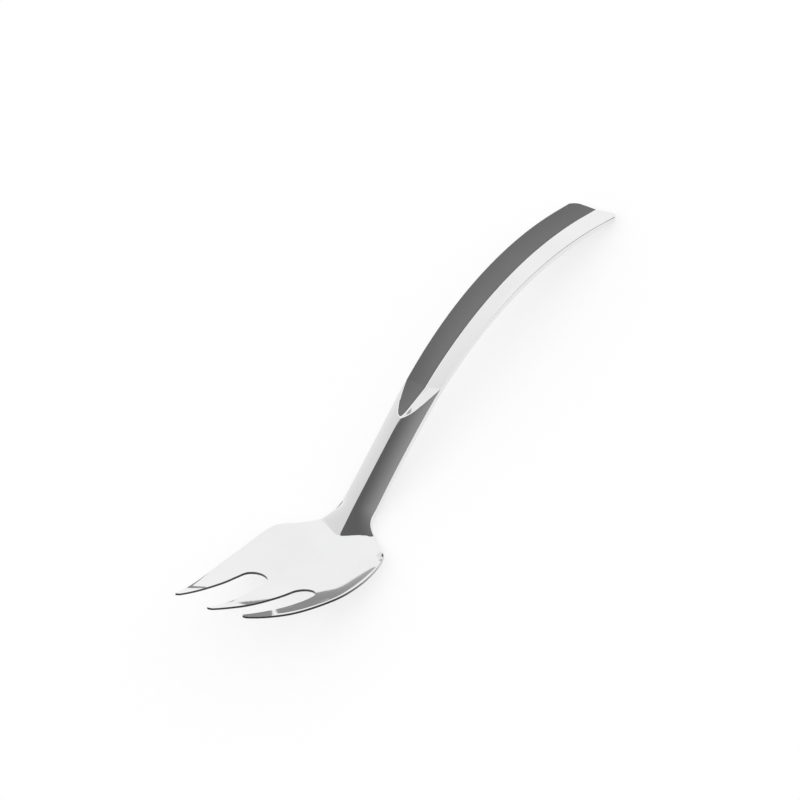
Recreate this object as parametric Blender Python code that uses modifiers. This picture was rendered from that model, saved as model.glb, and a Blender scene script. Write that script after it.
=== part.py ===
# Serving fork: one blank of sheet steel, cut with three tines, dished at the head, crowned along the
# neck and pressed into a shallow channel along the arched handle. It lies on its heel and handle end.
# Metres, +X from the handle to the tines, +Z up. The origin is under the middle, on the table.

import math

import bmesh
import bpy
from mathutils import Matrix, Vector

# Sheet
sheet_thickness = 0.0018
tip_thinning = 0.8  # the tines are ground down to this share of the sheet at their tips
edge_rounding = 0.0004

# Side view, from the tips back along the middle of the sheet
front_arc_radius = 0.1235
front_arc_length = 0.0373
heel_arc_radius = 0.0807
heel_slope = math.radians(28.0)
neck_bend_radius = 0.0075
neck_slope = math.radians(44.1)
neck_length = 0.045
handle_arc_radius = 0.1586
handle_end_slope = math.radians(4.0)
handle_end_straight = 0.0097

# Dish of the head, across
dish_radius_at_tips = 0.147
dish_radius_at_heel = 0.104
dish_fade = 0.011

# Head, tines and slots. The slots end in round roots, this far from the tips and the middle line
head_half_width = 0.0258
outer_tip_offset = 0.0157
outer_tip_setback = 0.0009
outer_tip_width = 0.0022
middle_tip_half_width = 0.0011
tip_rounding = 0.0008
root_place = 0.0413
root_offset = 0.01085
root_radius = 0.0039

# Neck and handle
neck_flare_length = 0.0103
neck_half_width = 0.0073
handle_end_half_width = 0.0108
end_corner_radius = 0.0022

# Neck crown and handle channel
crown_height = 0.0028
crown_rise = 0.009
channel_depth = 0.0021
channel_end_depth = 0.0003
channel_entry = 0.013
channel_fade_start = 0.030
valley_softness = 0.25
crease_softness = 0.0003

# Outer edge of the head: share of the way from tips to heel, share of the head's half-width
head_outline = (
    (0.13, 0.721),
    (0.26, 0.829),
    (0.39, 0.915),
    (0.52, 0.981),
    (0.65, 1.0),
    (0.755, 0.992),
    (0.835, 0.957),
    (0.90, 0.868),
    (0.95, 0.690),
    (1.0, 0.465),
)
flare_middle = (0.42, 0.0010)  # share of the flare's length, width over the neck's

# Half-width of the middle tine and width of the outer ones, by share of the way to the roots
middle_tine = ((0.0, middle_tip_half_width), (0.24, 0.0020), (0.48, 0.0035), (0.73, 0.0047), (0.87, 0.0058))
outer_tine = ((0.0, outer_tip_width), (0.24, 0.0043), (0.48, 0.0064), (0.73, 0.0083), (0.87, 0.0093))

# Mesh of the blank: columns over half the width, rows along a tine, and rows that bend round a root
middle_columns = 2
slot_columns = 6
outer_columns = 3
tine_rows = 13
root_rows = 4
corner_rows_length = 0.006

steel_colour = (0.72, 0.72, 0.73, 1.0)
steel_roughness = 0.06

# Places along the sheet that follow from the sizes above
heel_place = front_arc_length + heel_arc_radius * heel_slope
neck_place = heel_place + neck_bend_radius * (neck_slope - heel_slope)
channel_place = neck_place + neck_length
handle_arc_end = channel_place + handle_arc_radius * (neck_slope - handle_end_slope)
sheet_length = handle_arc_end + handle_end_straight


def ease(value):
    """Smooth step from 0 to 1."""
    value = min(max(value, 0.0), 1.0)
    return value * value * (3.0 - 2.0 * value)


def through(stations, place):
    """Smooth curve through the stations, with the slope of each from its neighbours."""
    last = len(stations) - 1
    index = 0
    while index < last - 1 and place > stations[index + 1][0]:
        index += 1

    def slope(at):
        before, after = stations[max(at - 1, 0)], stations[min(at + 1, last)]
        return (after[1] - before[1]) / (after[0] - before[0])

    start, end = stations[index], stations[index + 1]
    step = end[0] - start[0]
    t = min(max((place - start[0]) / step, 0.0), 1.0)
    return (
        (1 + 2 * t) * (1 - t) ** 2 * start[1]
        + t * (1 - t) ** 2 * step * slope(index)
        + t * t * (3 - 2 * t) * end[1]
        + t * t * (t - 1) * step * slope(index + 1)
    )


def outline_stations():
    """(distance from the tips, half-width) along the blank's outer edge."""
    neck_start = heel_place + neck_flare_length
    head = [(heel_place * share, head_half_width * width) for share, width in head_outline]
    flare = heel_place + neck_flare_length * flare_middle[0]
    return [(0.0, outer_tip_offset), *head, (flare, neck_half_width + flare_middle[1])] + [
        (neck_start, neck_half_width),
        (channel_place, neck_half_width),
        (sheet_length, handle_end_half_width),
    ]


def half_width(place):
    return through(outline, place)


def middle_edge(place):
    """Half-width of the middle tine."""
    return through([*middle_tine, (1.0, root_offset - root_radius)], place / root_place)


def slot_far_edge(place):
    """Distance from the middle line to the outer tine's inner edge."""
    root_width = half_width(root_place) - root_offset - root_radius
    return half_width(place) - through([*outer_tine, (1.0, root_width)], place / root_place)


def side_view(place):
    """Point (x, z) and slope of the middle line at this distance from the tips."""
    runs = (
        (front_arc_length, -front_arc_length / front_arc_radius, 0.0),
        (heel_arc_radius * heel_slope, 0.0, heel_slope),
        (neck_bend_radius * (neck_slope - heel_slope), heel_slope, neck_slope),
        (neck_length, neck_slope, neck_slope),
        (handle_arc_end - channel_place, neck_slope, handle_end_slope),
        (handle_end_straight, handle_end_slope, handle_end_slope),
    )
    x, z, slope = 0.0, 0.0, runs[0][1]
    for length, start, end in runs:
        done = min(max(place, 0.0), length)
        place -= length
        slope = start + (end - start) * done / length
        if end != start:
            radius = length / (end - start)
            x -= radius * (math.sin(slope) - math.sin(start))
            z += radius * (math.cos(start) - math.cos(slope))
        else:
            x -= done * math.cos(start)
            z += done * math.sin(start)
        if place <= 0.0:
            break
    return x, z, slope


def dish(place, across):
    """Height of the dished head over its middle line."""
    share = min(place / root_place, 1.0)
    curve = (1 - share) / (2 * dish_radius_at_tips) + share / (2 * dish_radius_at_heel)
    return curve * across**2 * ease((heel_place - place) / dish_fade)


def crown(place, across):
    """Height of the neck's convex face over its edges."""
    base = half_width(max(place, heel_place + neck_flare_length))
    inside = max(1.0 - (across / base) ** 2, 0.0)
    rise = ease((place - heel_place) / crown_rise)
    return crown_height * rise * inside ** (2.0 - rise)


def channel(place, across):
    """Height of the handle's hollow face. It comes out of the crown in a U and fades to the end."""
    past = place - channel_place
    fade = ease((past - channel_fade_start) / (sheet_length - channel_place - channel_fade_start))
    depth = channel_depth + (channel_end_depth - channel_depth) * fade
    share = across / half_width(place)
    softness = valley_softness
    rise = (math.hypot(share, softness) - softness) / (math.hypot(1.0, softness) - softness)
    lift = (crown_height + channel_depth) * max(1.0 - past / channel_entry, 0.0)
    return depth * (rise - 1.0) + lift


def pressed(place, across):
    """Point of the pressed sheet's top face from its place on the flat blank."""
    if place < heel_place:
        height = dish(place, across)
    else:
        raised, hollow = crown(place, across), channel(place, across)
        gap = math.hypot(raised - hollow, crease_softness)
        height = (raised + hollow - gap) / 2.0
    x, z, slope = side_view(place)
    return Vector((x + height * math.sin(slope), across, z + height * math.cos(slope)))


def rows():
    """Distances from the tips at which the blank has a row, from the slot roots to the handle end."""
    stretches = (
        (root_place, heel_place - 0.012, 3.6e-3),
        (heel_place - 0.012, heel_place + 0.012, 1.5e-3),
        (heel_place + 0.012, channel_place - 0.002, 5.0e-3),
        (channel_place - 0.002, channel_place + 0.016, 1.5e-3),
        (channel_place + 0.016, sheet_length - corner_rows_length, 5.0e-3),
        (sheet_length - corner_rows_length, sheet_length, 2.0e-3),
    )
    places = []
    for start, end, step in stretches:
        count = max(round((end - start) / step), 1)
        places += [start + (end - start) * i / count for i in range(count)]
    return places + [sheet_length]


def tine(blank, count, inner, outer, setback):
    """Grid of one tine on the flat blank, from its rounded tip to the row of the slot roots."""
    grid = []
    for row in range(tine_rows + 1):
        share = row / tine_rows
        line = []
        for column in range(count + 1):
            part = column / count
            place = setback + (root_place - setback) * share
            near, far = inner(place), outer(place)
            across = near + (far - near) * part
            bulge = 2 * part - 1 if near else part
            place += tip_rounding * bulge**2 * max(1.0 - 4 * share, 0.0)
            line.append(blank.verts.new((place, across, 0.0)))
        grid.append(line)
    return grid


def fill(blank, grid):
    for front, back in zip(grid, grid[1:]):
        for column in range(len(front) - 1):
            corners = (front[column], front[column + 1], back[column + 1], back[column])
            blank.faces.new(corners)


def half_blank():
    """Flat half of the sheet at +Y, open at the middle line, as a grid that follows the slot's root."""
    blank = bmesh.new()
    fill(blank, tine(blank, middle_columns, lambda place: 0.0, middle_edge, 0.0))
    fill(blank, tine(blank, outer_columns, slot_far_edge, half_width, outer_tip_setback))

    first = root_offset - root_radius
    last = root_offset + root_radius
    grid = []
    for row, place in enumerate(rows()):
        width = half_width(place)
        scale = width / half_width(root_place)
        line = []
        for column in range(middle_columns + slot_columns + outer_columns + 1):
            bulge = 0.0
            if column <= middle_columns:
                across = first * column / middle_columns
            elif column < middle_columns + slot_columns:
                turn = math.pi * (column - middle_columns) / slot_columns
                across = root_offset - root_radius * math.cos(turn)
                bulge = root_radius * math.sin(turn) * max(1.0 - row / root_rows, 0.0)
            else:
                part = (column - middle_columns - slot_columns) / outer_columns
                across = last + (half_width(root_place) - last) * part
            across *= scale
            inset = max(across - (width - end_corner_radius), 0.0) / end_corner_radius
            corner = end_corner_radius * (1.0 - math.sqrt(max(1.0 - inset**2, 0.0)))
            corner *= ease(1.0 - (sheet_length - place) / corner_rows_length)
            line.append(blank.verts.new((place + bulge - corner, across, 0.0)))
        grid.append(line)
    fill(blank, grid)
    bmesh.ops.remove_doubles(blank, verts=blank.verts, dist=1e-6)
    return blank


def press(blank):
    """Forms the flat blank, and marks how much of the sheet's thickness each point keeps."""
    weights = []
    for vert in blank.verts:
        weights.append(min(vert.co.x / root_place, 1.0))
        vert.co = pressed(vert.co.x, vert.co.y)
    return weights


def lying_angle():
    """Tilt at which the underside rests on the heel's arc and on the handle's end."""
    end = pressed(sheet_length, 0.0)
    slope = side_view(sheet_length)[2]
    end -= sheet_thickness * Vector((math.sin(slope), 0.0, math.cos(slope)))
    belly = side_view(front_arc_length)
    reach = Vector((belly[0] - end.x, belly[1] + heel_arc_radius - end.z))
    return math.asin((heel_arc_radius + sheet_thickness) / reach.length) - math.atan2(reach.y, reach.x)


for item in list(bpy.data.objects):
    bpy.data.objects.remove(item, do_unlink=True)

outline = outline_stations()
collection = bpy.data.collections.new("serving_fork")
bpy.context.scene.collection.children.link(collection)

steel = bpy.data.materials.new("polished_steel")
steel.use_nodes = True
shader = steel.node_tree.nodes["Principled BSDF"]
shader.inputs["Base Color"].default_value = steel_colour
shader.inputs["Metallic"].default_value = 1.0
shader.inputs["Roughness"].default_value = steel_roughness

# The blank is pressed flat side up, then turned to lie on the table
blank = half_blank()
weights = press(blank)
blank.transform(Matrix.Rotation(-lying_angle(), 4, "Y"))
bmesh.ops.recalc_face_normals(blank, faces=blank.faces)
if sum(face.normal.z for face in blank.faces) < 0.0:
    bmesh.ops.reverse_faces(blank, faces=blank.faces)
mesh = bpy.data.meshes.new("fork")
blank.to_mesh(mesh)
blank.free()
mesh.materials.append(steel)
fork = bpy.data.objects.new("fork", mesh)
collection.objects.link(fork)

kept = fork.vertex_groups.new(name="kept_thickness")
for index, weight in enumerate(weights):
    kept.add([index], weight, "REPLACE")

halves = fork.modifiers.new("halves", "MIRROR")
halves.use_axis = (False, True, False)
halves.use_clip = True
halves.merge_threshold = 0.00005

sheet = fork.modifiers.new("sheet", "SOLIDIFY")
sheet.thickness = sheet_thickness
sheet.offset = -1.0
sheet.use_even_offset = True
sheet.vertex_group = kept.name
sheet.thickness_vertex_group = tip_thinning

edges = fork.modifiers.new("edges", "BEVEL")
edges.width = edge_rounding
edges.segments = 2
edges.limit_method = "ANGLE"
edges.angle_limit = math.radians(50.0)

mesh.shade_smooth()

# The table is at height 0, and the middle of the fork's length is over the origin
bpy.context.view_layer.update()
shape = fork.evaluated_get(bpy.context.evaluated_depsgraph_get()).to_mesh()
lengths = [vert.co.x for vert in shape.vertices]
lowest = min(vert.co.z for vert in shape.vertices)
fork.location = (-(min(lengths) + max(lengths)) / 2.0, 0.0, -lowest)
print("fork: triangles", sum(len(face.vertices) - 2 for face in shape.polygons))
print("fork: lying angle", round(math.degrees(lying_angle()), 2), "degrees, placed at", tuple(fork.location))
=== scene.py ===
# Serving fork pressed from one sheet of polished steel: its finished looks, on a pale floor.
# Metres. The fork lies on its heel and its handle end, with the tines at +X.

import math
from types import SimpleNamespace

import bpy
from mathutils import Matrix, Vector


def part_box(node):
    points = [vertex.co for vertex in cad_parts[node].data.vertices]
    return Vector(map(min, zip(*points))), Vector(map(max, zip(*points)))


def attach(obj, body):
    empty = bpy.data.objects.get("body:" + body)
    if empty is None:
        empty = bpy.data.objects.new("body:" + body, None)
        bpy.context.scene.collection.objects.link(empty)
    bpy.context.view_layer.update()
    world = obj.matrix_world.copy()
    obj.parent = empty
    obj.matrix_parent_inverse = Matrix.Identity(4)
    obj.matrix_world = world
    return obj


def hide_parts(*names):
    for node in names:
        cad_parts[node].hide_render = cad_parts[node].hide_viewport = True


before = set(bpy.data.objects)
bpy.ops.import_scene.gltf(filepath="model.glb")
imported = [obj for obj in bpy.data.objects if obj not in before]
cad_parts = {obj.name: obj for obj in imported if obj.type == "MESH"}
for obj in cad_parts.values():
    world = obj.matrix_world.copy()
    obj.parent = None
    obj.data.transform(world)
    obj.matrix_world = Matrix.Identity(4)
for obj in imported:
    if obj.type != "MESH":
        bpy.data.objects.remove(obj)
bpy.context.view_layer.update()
forkLow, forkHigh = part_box("fork")
print("frame loaded, fork", [round(side * 1000, 1) for side in forkHigh - forkLow], "mm")


class Wire:  # one output socket that takes part in Python expressions
    def __init__(self, socket):
        self.socket = socket

    def math(self, operation, other):
        sheet = NodeSheet(self.socket.id_data)
        return sheet.node("ShaderNodeMath", {"operation": operation}, {0: self, 1: other})

    def __add__(self, other):
        return self.math("ADD", other)

    def __mul__(self, other):
        return self.math("MULTIPLY", other)

    __radd__ = __add__
    __rmul__ = __mul__


class NodeSheet:  # the node tree of one material
    def __init__(self, tree):
        self.tree = tree

    def fill(self, node, inputs):  # gives a node's sockets their values or links
        for name, value in inputs.items():
            if isinstance(value, Wire):
                self.tree.links.new(value.socket, node.inputs[name])
            else:
                node.inputs[name].default_value = value

    def node(self, kind, settings=None, inputs=None, output=0):
        made = self.tree.nodes.new(kind)
        for name, value in (settings or {}).items():
            setattr(made, name, value)
        self.fill(made, inputs or {})
        return Wire(made.outputs[output])

    def mixColour(self, share, first, second):
        inputs = {"Factor": share, "A": first, "B": second}
        return self.node("ShaderNodeMix", {"data_type": "RGBA"}, inputs, output=2)


def newMaterial(name):  # with its node sheet and its shader
    material = bpy.data.materials.new(name)
    material.use_nodes = True
    return material, NodeSheet(material.node_tree), material.node_tree.nodes["Principled BSDF"]


# The fork

forkSizes = {
    "sheet": 0.0018,  # neck and handle; the head is rolled thinner
    "headSheet": 0.0009,
    "tipSheet": 0.0007,
    "thinningLength": 0.020,
    "edgeRounding": 0.0003,
    "edgeSegments": 3,
    "edgeAngle": math.radians(50.0),  # edges sharper than this are rounded
    "seamMerge": 0.00005,  # closes the seam between the blank's two halves
    "frontArcRadius": 0.1235,  # side view, from the tips back
    "frontArcLength": 0.0373,
    "heelArcRadius": 0.0807,
    "heelSlope": math.radians(28.0),
    "neckBendRadius": 0.0040,
    "neckSlope": math.radians(44.1),
    "neckLength": 0.045,
    "handleArcRadius": 0.1586,
    "handleEndSlope": math.radians(4.0),
    "handleEndStraight": 0.0097,
    "dishRadiusAtTips": 0.105,
    "dishRadiusAtHeel": 0.104,
    "dishFade": 0.0115,
    "tineTwist": math.radians(14.0),  # how much flatter than the dish the outer tines are at their tips
    "twistReach": 0.6,  # the twist acts this near the tine's middle, as a share of its width
    "rimWidth": 0.0010,  # the head is rolled off a little along its outer edge
    "rimDrop": 0.00017,
    "rimRollStart": 0.009,  # from the tips
    "rimRollEnd": 0.064,
    "rimRollFade": 0.012,
    "headHalfWidth": 0.0258,
    "outerTipOffset": 0.0157,
    "outerTipSetback": 0.0005,
    "outerTipWidth": 0.0018,
    "middleTipHalfWidth": 0.0011,
    "tipRounding": 0.0008,
    "tipFade": 0.25,  # share of the tine's length in which the rounding of its tip fades
    "rootPlace": 0.0372,  # the slots end in round roots
    "rootOffset": 0.0107,
    "rootRadius": 0.0049,
    "neckFlareLength": 0.0103,
    "neckHalfWidth": 0.0073,
    "handleEndHalfWidth": 0.0107,
    "endCornerRadius": 0.0040,
    "endCornerRun": 0.012,
    "crownHeight": 0.0028,
    "crownRidge": 0.37,  # share of the crown's drop that is straight, the rest being round
    "ridgeSoftness": 0.03,
    "footSwell": 0.0012,  # the head swells this much where the neck's crown stands on it
    "footStart": 0.002,  # this and the next two from the neck's bend towards the tips
    "footLevel": 0.004,
    "footReach": 0.018,
    "footWidth": 1.5,  # as a share of the sheet's width at the heel
    "channelLead": 0.0022,  # the channel opens this far before the handle's arc
    "channelDepth": 0.0021,
    "channelEndDepth": 0.0007,
    "channelEntry": 0.015,
    "channelFadeStart": 0.030,
    "valleySoftness": 0.04,
    "flankBow": 0.25,  # the channel's flanks are this much steeper at the valley than straight ones
    "creaseFillet": 0.0004,
    "channelFillet": 0.0001,
}

# Outer edge of the head: share of the way from tips to heel, share of the head's half-width
headOutline = (
    (0.13, 0.721),
    (0.26, 0.829),
    (0.39, 0.915),
    (0.52, 0.981),
    (0.65, 1.0),
    (0.755, 0.992),
    (0.835, 0.957),
    (0.90, 0.868),
    (0.95, 0.690),
    (1.0, 0.465),
)
flareMiddle = (0.42, 1.14)  # share of the flare's length, share of the neck's half-width

# Widths of the middle and the outer tines: share of the way to the roots, share of the width there
middleTine = ((0.24, 0.31), (0.48, 0.55), (0.73, 0.75), (0.87, 0.89))
outerTine = ((0.24, 0.42), (0.48, 0.63), (0.73, 0.82), (0.87, 0.905))

size = SimpleNamespace(**forkSizes)
heelPlace = size.frontArcLength + size.heelArcRadius * size.heelSlope
neckPlace = heelPlace + size.neckBendRadius * (size.neckSlope - size.heelSlope)
handlePlace = neckPlace + size.neckLength
channelPlace = handlePlace - size.channelLead
handleArcEnd = handlePlace + size.handleArcRadius * (size.neckSlope - size.handleEndSlope)
sheetLength = handleArcEnd + size.handleEndStraight


def clipped(value):
    return min(max(value, 0.0), 1.0)


def ease(value):  # from 0 to 1 with a level start and end
    value = clipped(value)
    return value * value * (3.0 - 2.0 * value)


def curveThrough(points, place):  # smooth curve, with the slope at each point from its neighbours
    last = len(points) - 1
    index = 0
    while index < last - 1 and place > points[index + 1][0]:
        index += 1

    def slope(at):
        before, after = points[max(at - 1, 0)], points[min(at + 1, last)]
        return (after[1] - before[1]) / (after[0] - before[0])

    start, end = points[index], points[index + 1]
    step = end[0] - start[0]
    share = clipped((place - start[0]) / step)
    return (
        (1 + 2 * share) * (1 - share) ** 2 * start[1]
        + share * (1 - share) ** 2 * step * slope(index)
        + share * share * (3 - 2 * share) * end[1]
        + share * share * (share - 1) * step * slope(index + 1)
    )


blankOutline = (
    [(0.0, size.outerTipOffset)]
    + [(heelPlace * share, size.headHalfWidth * width) for share, width in headOutline]
    + [
        (heelPlace + size.neckFlareLength * flareMiddle[0], size.neckHalfWidth * flareMiddle[1]),
        (heelPlace + size.neckFlareLength, size.neckHalfWidth),
        (handlePlace, size.neckHalfWidth),
        (sheetLength, size.handleEndHalfWidth),
    ]
)


def halfWidth(place):  # of the blank, this far from the tips
    return curveThrough(blankOutline, place)


def tineWidths(tip, shares, root):
    return [(0.0, tip)] + [(share, root * width) for share, width in shares] + [(1.0, root)]


rootHalfWidth = halfWidth(size.rootPlace)
middleTineCurve = tineWidths(size.middleTipHalfWidth, middleTine, size.rootOffset - size.rootRadius)
outerRootWidth = rootHalfWidth - size.rootOffset - size.rootRadius
outerTineCurve = tineWidths(size.outerTipWidth, outerTine, outerRootWidth)


def sideView(place):  # point and slope of the middle line
    runs = (
        (size.frontArcLength, -size.frontArcLength / size.frontArcRadius, 0.0),
        (size.heelArcRadius * size.heelSlope, 0.0, size.heelSlope),
        (neckPlace - heelPlace, size.heelSlope, size.neckSlope),
        (size.neckLength, size.neckSlope, size.neckSlope),
        (handleArcEnd - handlePlace, size.neckSlope, size.handleEndSlope),
        (size.handleEndStraight, size.handleEndSlope, size.handleEndSlope),
    )
    x, z, slope = 0.0, 0.0, runs[0][1]
    for length, start, end in runs:
        done = min(max(place, 0.0), length)
        place -= length
        slope = start + (end - start) * done / length
        if end != start:
            radius = length / (end - start)
            x -= radius * (math.sin(slope) - math.sin(start))
            z += radius * (math.cos(start) - math.cos(slope))
        else:
            x -= done * math.cos(start)
            z += done * math.sin(start)
        if place <= 0.0:
            break
    return x, z, slope


def dish(place, across):  # the head's hollow, as a height over its middle line
    share = min(place / size.rootPlace, 1.0)
    curve = (1 - share) / (2 * size.dishRadiusAtTips) + share / (2 * size.dishRadiusAtHeel)
    return curve * across**2 * ease((heelPlace - place) / size.dishFade)


def tineTwist(place, across):  # turns an outer tine about its own middle
    share = min(place / size.rootPlace, 1.0)
    width = curveThrough(outerTineCurve, share)
    fromMiddle = abs(across) - halfWidth(place) + width / 2
    if abs(fromMiddle) > size.twistReach * width:
        return 0.0
    return -fromMiddle * math.tan(size.tineTwist * ease(1.0 - share))


def rimRoll(place, across):
    fromEdge = max(halfWidth(place) - abs(across), 0.0)
    fade = ease((place - size.rimRollStart) / size.rimRollFade)
    fade *= ease((size.rimRollEnd - place) / size.rimRollFade)
    return -size.rimDrop * max(1.0 - fromEdge / size.rimWidth, 0.0) ** 2 * fade


def softCorner(share, softness):  # from 0 to 1 in a straight line with a rounded start
    return (math.hypot(share, softness) - softness) / (math.hypot(1.0, softness) - softness)


def softMax(first, second, fillet):  # the higher of two faces, filleted where they meet
    near = max(1.0 - abs(first - second) / fillet, 0.0)
    return max(first, second) + fillet * near**2 / 4.0


def crownShape(share):  # the neck's convex section, 1 at its ridge and 0 at its edges
    share = min(abs(share), 1.0)
    straight = size.crownRidge * softCorner(share, size.ridgeSoftness)
    return 1.0 - straight - (1.0 - size.crownRidge) * share**2


def crown(place, across):
    flare = ease(1.0 - (place - heelPlace) / size.neckFlareLength)
    foot = size.neckHalfWidth + (halfWidth(heelPlace) - size.neckHalfWidth) * flare
    base = max(foot, halfWidth(max(place, heelPlace)))
    return size.crownHeight * crownShape(across / base)


def footSwell(place, across):
    ahead = neckPlace - place
    share = min(abs(across) / (size.footWidth * halfWidth(heelPlace)), 1.0)
    along = ease(ahead / size.footStart)
    along *= ease((size.footReach - ahead) / (size.footReach - size.footLevel))
    return size.footSwell * (1.0 - share**2) ** 2 * along


def onNeckLine(place, height):  # the same height over the neck's straight line, run on into the head
    x, z, slope = sideView(place)
    neckX, neckZ, neckSlope = sideView(neckPlace)
    middle = (x - neckX) * math.sin(neckSlope) + (z - neckZ) * math.cos(neckSlope)
    return (height - middle) / math.cos(neckSlope - slope)


def channelFlank(share):  # from 0 in the valley to 1 at the edge
    share = min(abs(share), 1.0)
    return softCorner(share, size.valleySoftness) + size.flankBow * (share - share**2)


def channel(place, across):
    past = place - channelPlace
    fade = ease((past - size.channelFadeStart) / (sheetLength - channelPlace - size.channelFadeStart))
    depth = size.channelDepth + (size.channelEndDepth - size.channelDepth) * fade
    mouth = math.sqrt(clipped(past / size.channelEntry))  # the channel opens as a parabola
    lift = size.crownHeight * crownShape(mouth) + depth * (1.0 - channelFlank(mouth))
    return depth * (channelFlank(across / halfWidth(place)) - 1.0) + lift


def thickness(place):
    thin = size.tipSheet + (size.headSheet - size.tipSheet) * min(place / size.rootPlace, 1.0)
    return thin + (size.sheet - thin) * ease((place - heelPlace) / size.thinningLength + 0.5)


def pressed(place, across, below=0.0):  # where a point comes to lie; below is 0 on top, 1 underneath
    height = crown(place, across)
    if place < neckPlace:
        head = dish(place, across) + tineTwist(place, across)
        head += footSwell(place, across)
        head += rimRoll(place, across)
        fillet = size.creaseFillet * min((neckPlace - place) / size.footStart, 1.0)
        height = softMax(head, onNeckLine(place, height), fillet)
    elif place > channelPlace:
        height = -softMax(-height, -channel(place, across), size.channelFillet)
    x, z, slope = sideView(place)
    up = Vector((math.sin(slope), 0.0, math.cos(slope)))  # square to the side view's line
    return Vector((x, across, z)) + height * up - below * thickness(place) * up


meshSteps = {
    "middleColumns": 7,
    "slotColumns": 14,
    "outerColumns": 13,
    "outerPacking": 0.6,  # how much the outer columns draw together at the edge
    "rootRows": 10,
    "tineStep": 0.0009,
    "plainStep": 0.0010,
    "footStep": 0.0006,
    "footReach": 0.012,  # from the heel, both ways
    "creaseStep": 0.00035,
    "creaseLead": 0.003,  # ahead of the channel's mouth
    "creaseReach": 0.018,
    "cornerStep": 0.0006,
    "heelRows": 80,  # points of the underside tried for the one that the fork lies on
    "heelColumns": 5,
}
tineRows = round(size.rootPlace / meshSteps["tineStep"])
slotStart = meshSteps["middleColumns"]
slotEnd = slotStart + meshSteps["slotColumns"]
lastColumn = slotEnd + meshSteps["outerColumns"]


def rowPlaces():
    footStart = heelPlace - meshSteps["footReach"]
    footEnd = heelPlace + meshSteps["footReach"]
    creaseStart = channelPlace - meshSteps["creaseLead"]
    creaseEnd = channelPlace + meshSteps["creaseReach"]
    cornerStart = sheetLength - size.endCornerRun
    stretches = (
        (0.0, size.rootPlace, meshSteps["tineStep"]),
        (size.rootPlace, footStart, meshSteps["plainStep"]),
        (footStart, footEnd, meshSteps["footStep"]),
        (footEnd, creaseStart, meshSteps["plainStep"]),
        (creaseStart, creaseEnd, meshSteps["creaseStep"]),
        (creaseEnd, cornerStart, meshSteps["plainStep"]),
        (cornerStart, sheetLength, meshSteps["cornerStep"]),
    )
    places = []
    for start, end, step in stretches:
        count = round((end - start) / step)
        places += [start + (end - start) * i / count for i in range(count)]
    return places + [sheetLength]


def outerShare(column):  # from the slot to the outer edge
    part = (column - slotEnd) / meshSteps["outerColumns"]
    return part + meshSteps["outerPacking"] * part * (1.0 - part)


def onTine(place, column):  # a grid point on the flat blank, from the tips to the slots' roots
    share = place / size.rootPlace
    if column <= slotStart:
        near, far = 0.0, curveThrough(middleTineCurve, share)
        part = bulge = column / slotStart
    else:
        place = size.outerTipSetback + (size.rootPlace - size.outerTipSetback) * share
        share = place / size.rootPlace
        far = halfWidth(place)
        near = far - curveThrough(outerTineCurve, share)
        part = outerShare(column)
        bulge = 2 * part - 1
    setback = size.tipRounding * bulge**2 * max(1.0 - share / size.tipFade, 0.0)
    return place + setback, near + (far - near) * part


def onSheet(place, column, rowsPastRoot):  # the same, from the slots' roots to the handle's end
    width = halfWidth(place)
    slotFar = size.rootOffset + size.rootRadius
    bulge = 0.0
    if column <= slotStart:
        across = (size.rootOffset - size.rootRadius) * column / slotStart
    elif column < slotEnd:
        turn = math.pi * (column - slotStart) / meshSteps["slotColumns"]
        across = size.rootOffset - size.rootRadius * math.cos(turn)
        bulge = size.rootRadius * math.sin(turn) * max(1.0 - rowsPastRoot / meshSteps["rootRows"], 0.0)
    else:
        across = slotFar + (rootHalfWidth - slotFar) * outerShare(column)
    across *= width / rootHalfWidth

    # Towards the handle's end the columns draw in, and the outer ones bend round its corner
    share = ease(1.0 - (sheetLength - place) / size.endCornerRun)
    if column < slotEnd:
        edge = slotFar * width / rootHalfWidth
        across *= 1.0 + ((width - size.endCornerRadius) / edge - 1.0) * share
    else:
        turn = math.pi / 2 * (column - slotEnd) / meshSteps["outerColumns"]
        across += (width - size.endCornerRadius * (1.0 - math.sin(turn)) - across) * share
        bulge -= size.endCornerRadius * (1.0 - math.cos(turn)) * share
    return place + bulge, across


def applyModifier(piece, kind, **settings):
    modifier = piece.modifiers.new(kind.lower(), kind)
    for name, value in settings.items():
        setattr(modifier, name, value)
    bpy.ops.object.modifier_apply(modifier=modifier.name)


def gridSpot(point, rows):  # row and column of a point on the grid, a metre long and wide
    return (point.x + 0.5) * rows, (point.y + 0.5) * lastColumn


def makeGrid(rows):  # half of the blank as a grid, with the slot between two tines cut out
    bpy.ops.mesh.primitive_grid_add(x_subdivisions=rows, y_subdivisions=lastColumn, size=1)
    fork = bpy.context.object
    fork.name = fork.data.name = "forkSheet"
    bpy.ops.object.mode_set(mode="EDIT")
    bpy.ops.mesh.select_mode(type="FACE")
    bpy.ops.mesh.select_all(action="DESELECT")
    bpy.ops.object.mode_set(mode="OBJECT")
    for face in fork.data.polygons:
        row, column = gridSpot(face.center, rows)
        face.select = row < tineRows and slotStart < column < slotEnd
    bpy.ops.object.mode_set(mode="EDIT")
    bpy.ops.mesh.delete(type="FACE")
    bpy.ops.object.mode_set(mode="OBJECT")
    return fork


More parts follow.
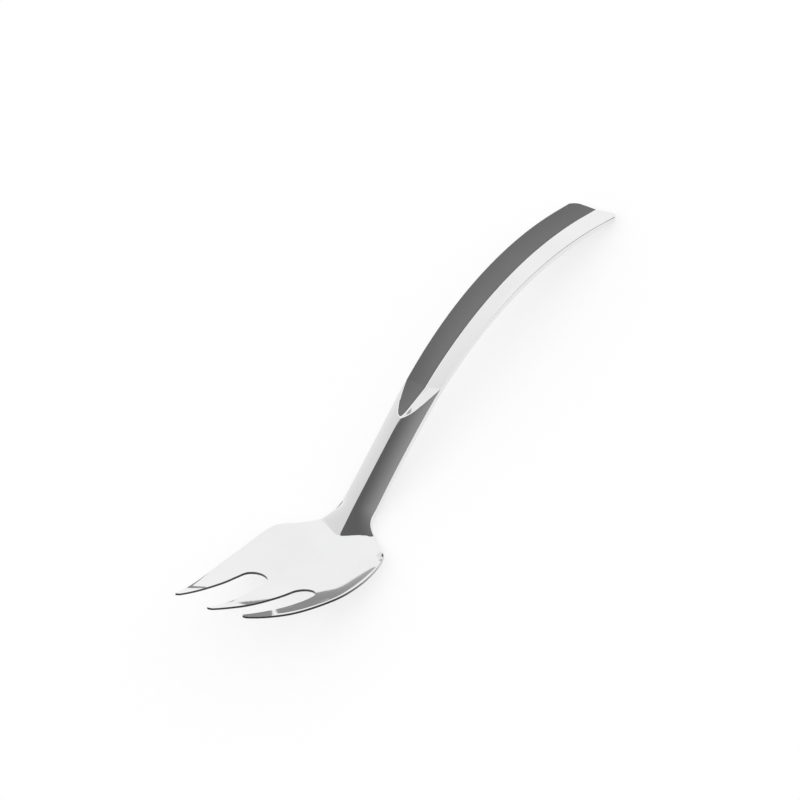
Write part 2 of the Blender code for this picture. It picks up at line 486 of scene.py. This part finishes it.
def drawBlank(mesh, places):  # draws the grid as the flat blank, which is kept as its UV map
    flat = []
    for vert in mesh.vertices:
        row, column = (round(count) for count in gridSpot(vert.co, len(places) - 1))
        inSlot = slotStart < column < slotEnd
        if row < tineRows or (row == tineRows and not inSlot):
            flat.append(onTine(places[row], column))
        else:
            flat.append(onSheet(places[row], column, row - tineRows))
    for loop, spot in zip(mesh.loops, mesh.uv_layers.active.data):
        place, across = flat[loop.vertex_index]
        spot.uv = (place, 0.5 + across)
    for vert, (place, across) in zip(mesh.vertices, flat):
        vert.co = (-place, across, 0.0)
    bpy.ops.object.mode_set(mode="EDIT")
    bpy.ops.mesh.select_all(action="SELECT")
    bpy.ops.mesh.normals_make_consistent(inside=False)
    bpy.ops.object.mode_set(mode="OBJECT")
    if sum(face.normal.z for face in mesh.polygons) < 0:
        mesh.flip_normals()


def pressBlank(mesh):  # its cut walls stay square to the side view's line
    for vert in mesh.vertices:
        place, across, below = -vert.co.x, vert.co.y, -vert.co.z / size.sheet
        vert.co = pressed(place, across, below)
    mesh.shade_smooth()


def makeFork():
    places = rowPlaces()
    fork = makeGrid(len(places) - 1)
    for material in (makeSteel(), makeCutEdgeWithPaintedShade()):
        fork.data.materials.append(material)
    drawBlank(fork.data, places)
    applyModifier(
        fork,
        "MIRROR",
        use_axis=(False, True, False),
        use_mirror_v=True,
        merge_threshold=size.seamMerge,
    )
    applyModifier(fork, "SOLIDIFY", thickness=size.sheet, offset=-1.0, material_offset_rim=1)
    print("blank cut,", round(sheetLength * 1000, 1), "mm long")

    pressBlank(fork.data)
    applyModifier(
        fork,
        "BEVEL",
        width=size.edgeRounding,
        segments=size.edgeSegments,
        limit_method="ANGLE",
        angle_limit=size.edgeAngle,
        material=0,
        harden_normals=True,
    )
    print("blank pressed and its edges rounded")
    return fork


def lyingAngle():  # tilt at which the underside rests on the heel and on the handle's end
    rows, columns = meshSteps["heelRows"], meshSteps["heelColumns"]
    end = pressed(sheetLength, 0.0, 1.0)
    angles = []
    for row in range(rows + 1):
        place = heelPlace + (row / rows - 0.5) * size.thinningLength
        for column in range(columns + 1):
            point = pressed(place, column / columns * halfWidth(place), 1.0)
            angles.append(math.atan2(end.z - point.z, point.x - end.x))
    return max(angles)


def layDown(fork):  # turns the fork to lie on heel and handle end, in the CAD solid's own box
    lying = lyingAngle()
    turn = Matrix.Rotation(-lying, 4, "Y")
    fork.data.transform(turn)
    corners = [vert.co for vert in fork.data.vertices]
    low = Vector([min(corner[axis] for corner in corners) for axis in range(3)])
    high = Vector([max(corner[axis] for corner in corners) for axis in range(3)])
    shift = Vector(((forkLow.x + forkHigh.x - low.x - high.x) / 2, 0.0, forkLow.z - low.z))
    fork.data.transform(Matrix.Translation(shift))
    off = [round(side * 1000, 3) for side in (high + shift) - forkHigh]
    print("fork laid down, its high corner off the CAD box's by", off, "mm")
    return Matrix.Translation(shift) @ turn


# Its steel

steelFinish = {
    "colour": (0.89, 0.89, 0.892, 1),
    "wornColour": (0.81, 0.81, 0.813, 1),
    "smudgeScale": 45.0,
    "smudgeDetail": 4.0,
    "roughness": 0.045,
    "smudgeRoughness": 0.05,
    "lineScale": (60, 2600, 1),  # fine polishing lines along the blank
    "lineDetail": 3.0,
    "lineHeight": 0.0000012,
}


def makeSteel():
    steel, sheet, shader = newMaterial("polishedSteel")
    flatPattern = sheet.node("ShaderNodeUVMap", {"uv_map": "UVMap"})
    stretched = {"Vector": flatPattern, "Scale": steelFinish["lineScale"]}
    alongLines = sheet.node("ShaderNodeMapping", {}, stretched)
    lines = sheet.node("ShaderNodeTexNoise", {}, {
        "Vector": alongLines,
        "Scale": 1.0,
        "Detail": steelFinish["lineDetail"],
    })
    place = sheet.node("ShaderNodeTexCoord", output="Object")
    smudges = sheet.node("ShaderNodeTexNoise", {}, {
        "Vector": place,
        "Scale": steelFinish["smudgeScale"],
        "Detail": steelFinish["smudgeDetail"],
    })
    bump = {"Height": lines * steelFinish["lineHeight"], "Distance": 1.0, "Strength": 1.0}
    sheet.fill(shader, {
        "Metallic": 1.0,
        "Base Color": sheet.mixColour(smudges, steelFinish["colour"], steelFinish["wornColour"]),
        "Roughness": smudges * smudges * steelFinish["smudgeRoughness"] + steelFinish["roughness"],
        "Normal": sheet.node("ShaderNodeBump", {}, bump),
    })
    return steel


cutEdgeWithPaintedShade = {
    # painted shade: the walls of the tines and slots are near black, standing in for the shadowed floor
    # under the head that they would reflect
    "tinePaintedShade": (0.05, 0.05, 0.052, 1),
    "handleColour": (0.80, 0.80, 0.805, 1),
    "gradedFrom": 0.036,  # from the painted shade to the handle's colour, in metres from the tips
    "gradedTo": 0.085,
    "roughness": 0.28,
    "lineScale": 2400.0,
    "lineDetail": 2.0,
    "lineHeight": 0.000004,
}


def makeCutEdgeWithPaintedShade():  # the sheared walls round the blank, rougher than its polished faces and with shear lines; on the head they carry painted shade, near black, for the shadowed floor beneath the head that they would reflect, fading to a plain steel colour on the handle
    edge, sheet, shader = newMaterial("cutEdgeWithPaintedShade")
    flatPattern = sheet.node("ShaderNodeUVMap", {"uv_map": "UVMap"})
    alongBlank = sheet.node("ShaderNodeSeparateXYZ", {}, {"Vector": flatPattern})
    share = sheet.node("ShaderNodeMapRange", {"interpolation_type": "SMOOTHSTEP"}, {
        "Value": alongBlank,
        "From Min": cutEdgeWithPaintedShade["gradedFrom"],
        "From Max": cutEdgeWithPaintedShade["gradedTo"],
    })
    shearLines = sheet.node("ShaderNodeTexNoise", {}, {
        "Vector": flatPattern,
        "Scale": cutEdgeWithPaintedShade["lineScale"],
        "Detail": cutEdgeWithPaintedShade["lineDetail"],
    })
    bump = {"Height": shearLines * cutEdgeWithPaintedShade["lineHeight"], "Distance": 1.0}
    sheet.fill(shader, {
        "Metallic": 1.0,
        # painted shade on the head's walls, fading to the handle's steel colour along the blank
        "Base Color": sheet.mixColour(share, cutEdgeWithPaintedShade["tinePaintedShade"], cutEdgeWithPaintedShade["handleColour"]),
        "Roughness": cutEdgeWithPaintedShade["roughness"],
        "Normal": sheet.node("ShaderNodeBump", {}, bump),
    })
    return edge


bpy.ops.object.select_all(action="DESELECT")
fork = makeFork()
headLevel = layDown(fork)  # from the photograph's pose, the head held level, to where the fork lies
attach(fork, "root")
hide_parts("fork")
print("fork made,", sum(len(face.vertices) - 2 for face in fork.data.polygons), "triangles")


# Floor, light and cards, none of them part of the fork

studio = {
    "floorSize": 6.0,
    "floorTone": 0.5,
    "floorWhite": 0.5,  # what the floor adds where it is seen, which makes it white
    "floorRoughness": 0.9,
    "worldStrength": 1.0,
}


def floorMaterial():
    material, sheet, shader = newMaterial("paleFloor")
    tone = studio["floorTone"]
    seenByCamera = sheet.node("ShaderNodeLightPath", output="Is Camera Ray")
    seenInGloss = sheet.node("ShaderNodeLightPath", output="Is Glossy Ray")
    sheet.fill(shader, {
        "Base Color": (tone, tone, tone, 1),
        "Roughness": studio["floorRoughness"],
        "Specular IOR Level": 0.0,
        "Emission Color": (seenByCamera + seenInGloss) * studio["floorWhite"],
        "Emission Strength": 1.0,
    })
    return material


bpy.ops.object.select_all(action="DESELECT")
bpy.ops.mesh.primitive_plane_add(size=studio["floorSize"])
floor = bpy.context.object
floor.name = "floor"
floor.data.materials.append(floorMaterial())
floor.visible_glossy = False


# Cards that only the steel sees. A card's tone goes from its first to its second one while the
# distance along "across" goes from the first to the second value of "span".
darkCard = {  # placed over the fork with its head held level
    "height": 0.200,
    "outline": (
        (-0.450, -0.160),
        (-0.300, -0.122),
        (-0.220, -0.098),
        (-0.120, -0.070),
        (-0.060, -0.048),
        (-0.014, -0.048),
        (-0.014, -0.110),
        (0.050, -0.130),
        (0.200, -0.060),
        (0.200, 0.250),
        (-0.450, 0.250),
    ),
    "across": (-0.35, 1, 0),
    "span": (-0.06, 0.16),
    "tones": (0.125, 0.36),
}
farCards = {  # their outlines are azimuth and elevation in degrees, seen from the head
    "greyCard": {
        "outline": (
            (218.7, -14.8),
            (217.5, -13.5),
            (217.4, -11.5),
            (218.2, -8),
            (220.3, -5),
            (225.4, -1.1),
            (227.8, 5.2),
            (229.6, 8.4),
            (231.5, 10.5),
            (245, 10.5),
            (250, -14.8),
        ),
        "across": (0, 0, 1),
        "span": (-1.3, 0.9),
        "tones": (0.27, 0.43),
    },
    "tipCard": {
        "outline": ((211, -17.5), (211, -10.8), (215.9, -10.8), (216.7, -13), (217.6, -17.5)),
        "across": (0, 0, 1),
        "span": (-1.3, 0.9),
        "tones": (0.27, 0.43),
    },
    "edgeCard": {
        "outline": ((82, 8), (82, 72), (174, 72), (174, 8)),
        "across": (0, 0, 1),
        "span": (0, 4),
        "tones": (0.06, 0.06),
    },
    "paleCard": {
        "outline": (
            (228, 11),
            (228, 16),
            (236, 24),
            (250, 30),
            (256, 62),
            (290, 66),
            (290, -8),
            (250, -8),
            (250, 11),
        ),
        "across": (0.99, -0.14, 0.34),
        "span": (-2.3, 1.5),
        "tones": (1.0, 0.79),
    },
}
farCardSpot = {
    "seenFrom": Vector((-0.040, 0.015, 0.0)),  # a point of the head, held level
    "distance": 4.0,
}


def makeCard(name, card, corners, placed):
    mesh = bpy.data.meshes.new(name)
    mesh.from_pydata(corners, [], [tuple(range(len(corners)))])
    made = bpy.data.objects.new(name, mesh)
    made.matrix_world = placed
    bpy.context.scene.collection.objects.link(made)
    made.visible_camera = made.visible_diffuse = made.visible_shadow = False
    material, sheet, shader = newMaterial(name)
    material.node_tree.nodes.remove(shader)
    place = sheet.node("ShaderNodeTexCoord", output="Object")
    onCard = {0: place, 1: card["across"]}
    share = sheet.node("ShaderNodeVectorMath", {"operation": "DOT_PRODUCT"}, onCard, output="Value")
    tone = sheet.node("ShaderNodeMapRange", {"interpolation_type": "SMOOTHSTEP"}, {
        "Value": share,
        "From Min": card["span"][0],
        "From Max": card["span"][1],
        "To Min": card["tones"][0],
        "To Max": card["tones"][1],
    })
    glow = sheet.node("ShaderNodeEmission", {}, {"Color": tone, "Strength": 1.0})
    sheet.fill(material.node_tree.nodes["Material Output"], {"Surface": glow})
    mesh.materials.append(material)


def farCorners(outline):  # of a flat card that faces the head
    seenFrom = headLevel @ farCardSpot["seenFrom"]
    directions = []
    for degrees in outline:
        azimuth, elevation = (math.radians(value) for value in degrees)
        directions.append(Vector((
            math.cos(azimuth) * math.cos(elevation),
            math.sin(azimuth) * math.cos(elevation),
            math.sin(elevation),
        )))
    facing = sum(directions, Vector()).normalized()
    return [seenFrom + way * farCardSpot["distance"] / way.dot(facing) for way in directions]


overhead = [Vector((x, y, darkCard["height"])) for x, y in darkCard["outline"]]
makeCard("darkCard", darkCard, overhead, headLevel)
for name, card in farCards.items():
    makeCard(name, card, farCorners(card["outline"]), Matrix())

world = bpy.data.worlds.new("paleStudio")
bpy.context.scene.world = world
world.use_nodes = True
backdrop = world.node_tree.nodes["Background"]
backdrop.inputs["Color"].default_value = (1, 1, 1, 1)
backdrop.inputs["Strength"].default_value = studio["worldStrength"]
print("studio made")


# The camera

photoView = {
    "azimuth": math.radians(128.6),  # seen with the fork's head held level
    "elevation": math.radians(22.4),
    "distance": 2.265,
    "aim": Vector((-0.1054, -0.0010, 0.0419)),  # the point at the middle of the photograph
    "focalPixels": 6500.0,
    "widthPixels": 800,
    "sensorWidth": 36.0,
    "clip": (0.05, 20.0),
}


def makeCamera():
    azimuth, elevation = photoView["azimuth"], photoView["elevation"]
    back = Vector((
        math.sin(azimuth) * math.cos(elevation),
        -math.cos(azimuth) * math.cos(elevation),
        math.sin(elevation),
    ))
    right = Vector((math.cos(azimuth), math.sin(azimuth), 0))
    axes = Matrix((right, back.cross(right), back)).transposed().to_4x4()
    axes.translation = photoView["aim"] + back * photoView["distance"]
    camera = bpy.data.objects.new("camera", bpy.data.cameras.new("camera"))
    camera.data.sensor_width = photoView["sensorWidth"]
    camera.data.lens = photoView["sensorWidth"] * photoView["focalPixels"] / photoView["widthPixels"]
    camera.data.clip_start, camera.data.clip_end = photoView["clip"]
    camera.matrix_world = headLevel @ axes
    bpy.context.scene.collection.objects.link(camera)
    bpy.context.scene.camera = camera


makeCamera()
bpy.context.scene.view_settings.view_transform = "Standard"
print("camera made")
